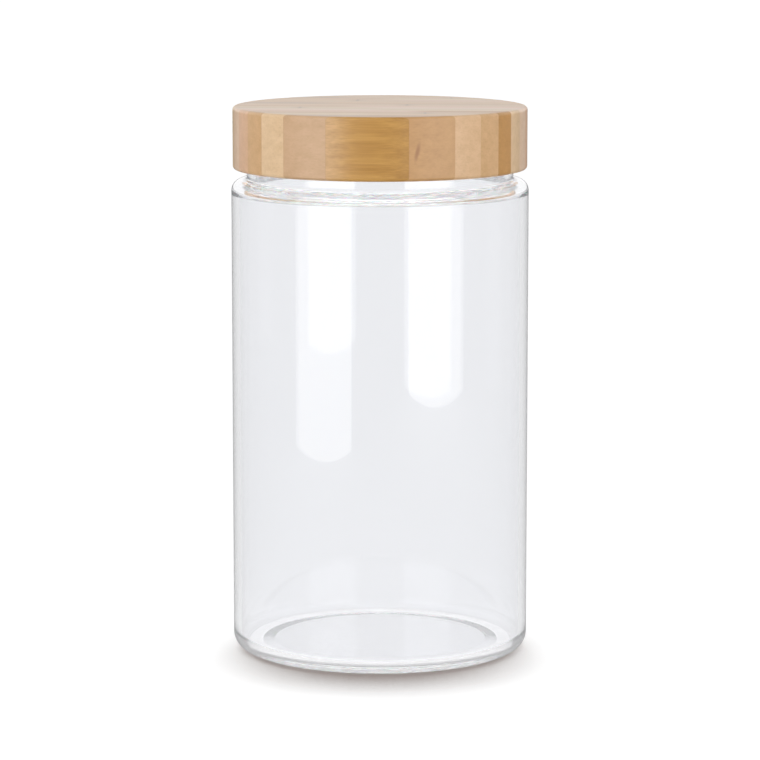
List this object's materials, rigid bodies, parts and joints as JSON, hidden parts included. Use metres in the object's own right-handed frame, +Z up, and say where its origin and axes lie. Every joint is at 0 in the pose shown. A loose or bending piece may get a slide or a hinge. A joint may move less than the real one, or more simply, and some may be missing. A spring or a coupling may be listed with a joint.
{
  "type": "lidded glass canister",
  "caption": "Straight-sided clear glass storage canister with a rounded shoulder, a threaded neck and a laminated bamboo screw lid with a seal.",
  "frame": {"origin": "on the standing surface, on the jar's axis", "axes": "+Z up along the jar's axis; -Y towards the front strip of the lid; the strips run along +X, turned 5 degrees clockwise seen from above"},
  "size_m": [0.1, 0.1, 0.1845],
  "materials": {
    "clear_glass": "clear, fire-polished",
    "bamboo": "side-pressed laminate, satin",
    "liner_plastic": "moulded, satin",
    "seal_silicone": "matt, translucent white"
  },
  "bodies": {
    "jar": {"glass_jar": "clear_glass"},
    "seal": {"seal_ring": "seal_silicone"},
    "lid": {"lid_liner": "liner_plastic", "lid_strip_01": "bamboo", "lid_strip_02": "bamboo", "lid_strip_03": "bamboo", "lid_strip_04": "bamboo", "lid_strip_05": "bamboo", "lid_strip_06": "bamboo", "lid_strip_07": "bamboo", "lid_strip_08": "bamboo", "lid_strip_09": "bamboo", "lid_strip_10": "bamboo", "lid_strip_11": "bamboo", "lid_strip_12": "bamboo", "lid_strip_13": "bamboo", "lid_strip_14": "bamboo", "lid_strip_15": "bamboo", "lid_strip_16": "bamboo"}
  },
  "joints": [
    {"name": "lid_rise", "type": "slide", "parent": "jar", "child": "seal", "axis": [0, 0, 1], "range_m": [0, 0.03]},
    {"name": "lid_turn", "type": "hinge", "parent": "seal", "child": "lid", "pos_m": [0, 0, 0.17], "axis": [0, 0, 1], "range_deg": [0, 1800]}
  ],
  "couplings": [
    {"joint": "lid_rise", "follows": "lid_turn", "m_per_rad": 0.00095493}
  ]
}
